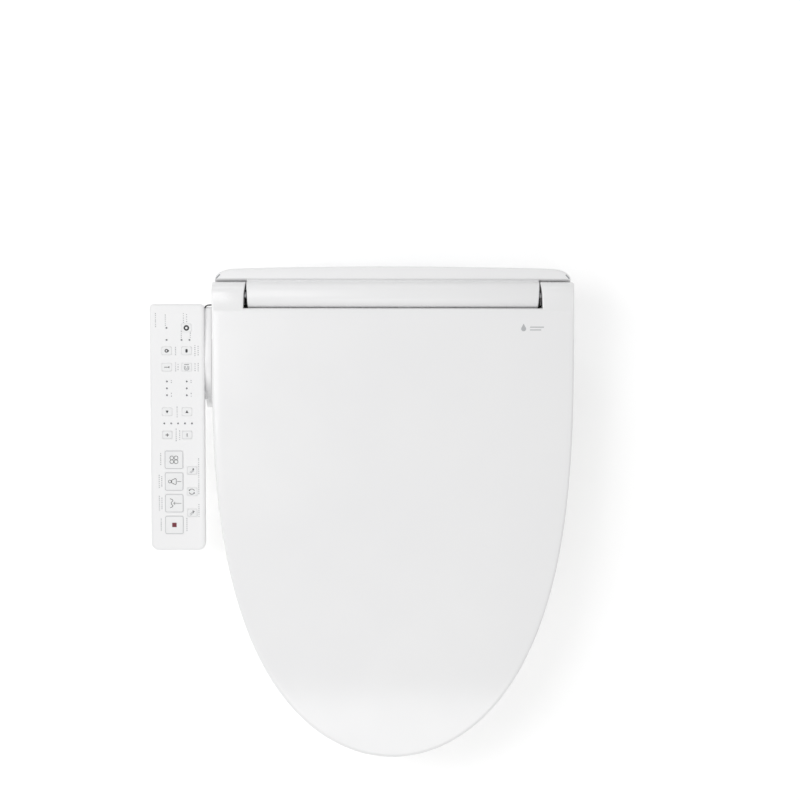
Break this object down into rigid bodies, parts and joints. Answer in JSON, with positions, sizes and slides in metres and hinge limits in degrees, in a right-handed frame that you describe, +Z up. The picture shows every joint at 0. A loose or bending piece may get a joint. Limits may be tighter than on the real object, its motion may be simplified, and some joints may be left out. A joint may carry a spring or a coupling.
{
  "type": "electric bidet seat",
  "caption": "Heated toilet seat with hinged lid and ring, rear housing with washing and drying works, and a control panel on a side bracket.",
  "frame": {"origin": "middle of the mounting plate's underside, on the bowl's deck, half-way between the two fixing bolts", "axes": "+Z up, +Y towards the cistern (the lid's tip points along -Y), +X to the right of someone who faces the seat from the front"},
  "size_m": [0.4595, 0.5315, 0.1565],
  "materials": {
    "white_gloss_abs": "glossy moulded",
    "white_seat_pp": "semi-gloss moulded",
    "key_white": "satin",
    "grey_works_plastic": "satin moulded",
    "dark_works_plastic": "satin moulded",
    "grey_rubber": "matt",
    "stainless_steel": "brushed",
    "plated_brass": "nickel plated",
    "circuit_board": "solder mask",
    "light_pipe": "translucent",
    "heating_foil": "laminated foil"
  },
  "bodies": {
    "housing": {"mounting_plate": "grey_works_plastic", "mounting_bolt_left": "stainless_steel", "mounting_bolt_right": "stainless_steel", "bolt_washer_left": "grey_rubber", "bolt_washer_right": "grey_rubber", "wing_nut_left": "grey_works_plastic", "wing_nut_right": "grey_works_plastic", "base_tray": "white_gloss_abs", "top_case": "white_gloss_abs", "inlet_valve": "plated_brass", "water_heater": "grey_works_plastic", "water_pump": "dark_works_plastic", "control_board": "circuit_board", "cord_gland": "grey_rubber", "blower_case": "grey_works_plastic", "nozzle_block": "white_gloss_abs", "lid_damper": "dark_works_plastic", "seat_damper": "dark_works_plastic", "wash_nozzle_motor": "stainless_steel", "bidet_nozzle_motor": "stainless_steel", "panel_cover": "white_gloss_abs", "panel_case": "white_gloss_abs", "indicator_light_guide": "light_pipe", "panel_board": "circuit_board"},
    "seat": {"seat_top": "white_seat_pp", "seat_base": "white_seat_pp", "seat_heater": "heating_foil", "seat_hinge_shaft": "stainless_steel", "seat_bumper_front_left": "grey_rubber", "seat_bumper_front_right": "grey_rubber", "seat_bumper_rear_left": "grey_rubber", "seat_bumper_rear_right": "grey_rubber"},
    "lid": {"lid": "white_gloss_abs", "lid_hinge_shaft": "stainless_steel", "lid_bumper_left": "grey_rubber", "lid_bumper_right": "grey_rubber"},
    "wash_nozzle": {"wash_nozzle": "white_gloss_abs"},
    "bidet_nozzle": {"bidet_nozzle": "white_gloss_abs"},
    "wash_pinion": {"wash_pinion": "grey_works_plastic"},
    "bidet_pinion": {"bidet_pinion": "grey_works_plastic"},
    "blower_fan": {"blower_fan": "dark_works_plastic"},
    "dryer_flap": {"dryer_flap": "white_gloss_abs"},
    "release_button": {"release_button": "white_gloss_abs"},
    "deodoriser_cartridge": {"deodoriser_cartridge": "grey_works_plastic"},
    "stop_key": {"stop_key": "key_white"},
    "wash_key": {"wash_key": "key_white"},
    "bidet_key": {"bidet_key": "key_white"},
    "dry_key": {"dry_key": "key_white"},
    "power_key": {"power_key": "key_white"},
    "eco_key": {"eco_key": "key_white"},
    "deodorise_key": {"deodorise_key": "key_white"},
    "water_heat_key": {"water_heat_key": "key_white"},
    "seat_heat_key": {"seat_heat_key": "key_white"},
    "nozzle_back_key": {"nozzle_back_key": "key_white"},
    "nozzle_forward_key": {"nozzle_forward_key": "key_white"},
    "pressure_up_key": {"pressure_up_key": "key_white"},
    "pressure_down_key": {"pressure_down_key": "key_white"},
    "massage_key": {"massage_key": "key_white"},
    "move_key": {"move_key": "key_white"},
    "clean_key": {"clean_key": "key_white"}
  },
  "joints": [
    {"name": "seat_hinge", "type": "hinge", "parent": "housing", "child": "seat", "pos_m": [0, 0.0187, 0.084], "axis": [-1, 0, 0], "range_deg": [0, 98]},
    {"name": "lid_hinge", "type": "hinge", "parent": "seat", "child": "lid", "pos_m": [0, 0.0187, 0.084], "axis": [1, 0, 0], "range_deg": [-108, 0]},
    {"name": "wash_nozzle_slide", "type": "slide", "parent": "housing", "child": "wash_nozzle", "axis": [0, -0.8192, -0.5736], "range_m": [0, 0.08]},
    {"name": "wash_pinion_spin", "type": "hinge", "parent": "housing", "child": "wash_pinion", "pos_m": [-0.013, -0.04974, 0.0301], "axis": [-1, 0, 0], "range_deg": [0, 780]},
    {"name": "bidet_nozzle_slide", "type": "slide", "parent": "housing", "child": "bidet_nozzle", "axis": [0, -0.8192, -0.5736], "range_m": [0, 0.08]},
    {"name": "bidet_pinion_spin", "type": "hinge", "parent": "housing", "child": "bidet_pinion", "pos_m": [0.013, -0.04974, 0.0301], "axis": [-1, 0, 0], "range_deg": [0, 780]},
    {"name": "fan_spin", "type": "hinge", "parent": "housing", "child": "blower_fan", "pos_m": [0.095, -0.026, 0.0256], "axis": [0, 0, 1], "continuous": true},
    {"name": "flap_hinge", "type": "hinge", "parent": "housing", "child": "dryer_flap", "pos_m": [0.05, -0.08365, -0.0028], "axis": [-1, 0, 0], "range_deg": [0, 55], "stiffness_Nm_per_rad": 0.0005, "springref_deg": -28.65},
    {"name": "release_button_press", "type": "slide", "parent": "housing", "child": "release_button", "axis": [-1, 0, 0], "range_m": [0, 0.003], "stiffness_N_per_m": 500, "springref_m": -0.003},
    {"name": "cartridge_slide", "type": "slide", "parent": "housing", "child": "deodoriser_cartridge", "axis": [1, 0, 0], "range_m": [0, 0.04]},
    {"name": "stop_key_press", "type": "slide", "parent": "housing", "child": "stop_key", "axis": [0, 0.1045, -0.9945], "range_m": [0, 0.0008], "stiffness_N_per_m": 800, "springref_m": -0.0008},
    {"name": "wash_key_press", "type": "slide", "parent": "housing", "child": "wash_key", "axis": [0, 0.1045, -0.9945], "range_m": [0, 0.0008], "stiffness_N_per_m": 800, "springref_m": -0.0008},
    {"name": "bidet_key_press", "type": "slide", "parent": "housing", "child": "bidet_key", "axis": [0, 0.1045, -0.9945], "range_m": [0, 0.0008], "stiffness_N_per_m": 800, "springref_m": -0.0008},
    {"name": "dry_key_press", "type": "slide", "parent": "housing", "child": "dry_key", "axis": [0, 0.1045, -0.9945], "range_m": [0, 0.0008], "stiffness_N_per_m": 800, "springref_m": -0.0008},
    {"name": "power_key_press", "type": "slide", "parent": "housing", "child": "power_key", "axis": [0, 0.1045, -0.9945], "range_m": [0, 0.0003], "stiffness_N_per_m": 800, "springref_m": -0.0008},
    {"name": "eco_key_press", "type": "slide", "parent": "housing", "child": "eco_key", "axis": [0, 0.1045, -0.9945], "range_m": [0, 0.0003], "stiffness_N_per_m": 800, "springref_m": -0.0008},
    {"name": "deodorise_key_press", "type": "slide", "parent": "housing", "child": "deodorise_key", "axis": [0, 0.1045, -0.9945], "range_m": [0, 0.0003], "stiffness_N_per_m": 800, "springref_m": -0.0008},
    {"name": "water_heat_key_press", "type": "slide", "parent": "housing", "child": "water_heat_key", "axis": [0, 0.1045, -0.9945], "range_m": [0, 0.0003], "stiffness_N_per_m": 800, "springref_m": -0.0008},
    {"name": "seat_heat_key_press", "type": "slide", "parent": "housing", "child": "seat_heat_key", "axis": [0, 0.1045, -0.9945], "range_m": [0, 0.0003], "stiffness_N_per_m": 800, "springref_m": -0.0008},
    {"name": "nozzle_back_key_press", "type": "slide", "parent": "housing", "child": "nozzle_back_key", "axis": [0, 0.1045, -0.9945], "range_m": [0, 0.0003], "stiffness_N_per_m": 800, "springref_m": -0.0008},
    {"name": "nozzle_forward_key_press", "type": "slide", "parent": "housing", "child": "nozzle_forward_key", "axis": [0, 0.1045, -0.9945], "range_m": [0, 0.0003], "stiffness_N_per_m": 800, "springref_m": -0.0008},
    {"name": "pressure_up_key_press", "type": "slide", "parent": "housing", "child": "pressure_up_key", "axis": [0, 0.1045, -0.9945], "range_m": [0, 0.0003], "stiffness_N_per_m": 800, "springref_m": -0.0008},
    {"name": "pressure_down_key_press", "type": "slide", "parent": "housing", "child": "pressure_down_key", "axis": [0, 0.1045, -0.9945], "range_m": [0, 0.0003], "stiffness_N_per_m": 800, "springref_m": -0.0008},
    {"name": "massage_key_press", "type": "slide", "parent": "housing", "child": "massage_key", "axis": [0, 0.1045, -0.9945], "range_m": [0, 0.0003], "stiffness_N_per_m": 800, "springref_m": -0.0008},
    {"name": "move_key_press", "type": "slide", "parent": "housing", "child": "move_key", "axis": [0, 0.1045, -0.9945], "range_m": [0, 0.0003], "stiffness_N_per_m": 800, "springref_m": -0.0008},
    {"name": "clean_key_press", "type": "slide", "parent": "housing", "child": "clean_key", "axis": [0, 0.1045, -0.9945], "range_m": [0, 0.0003], "stiffness_N_per_m": 800, "springref_m": -0.0008}
  ],
  "couplings": [
    {"joint": "wash_pinion_spin", "follows": "wash_nozzle_slide", "rad_per_m": 166.67},
    {"joint": "bidet_pinion_spin", "follows": "bidet_nozzle_slide", "rad_per_m": 166.67}
  ]
}
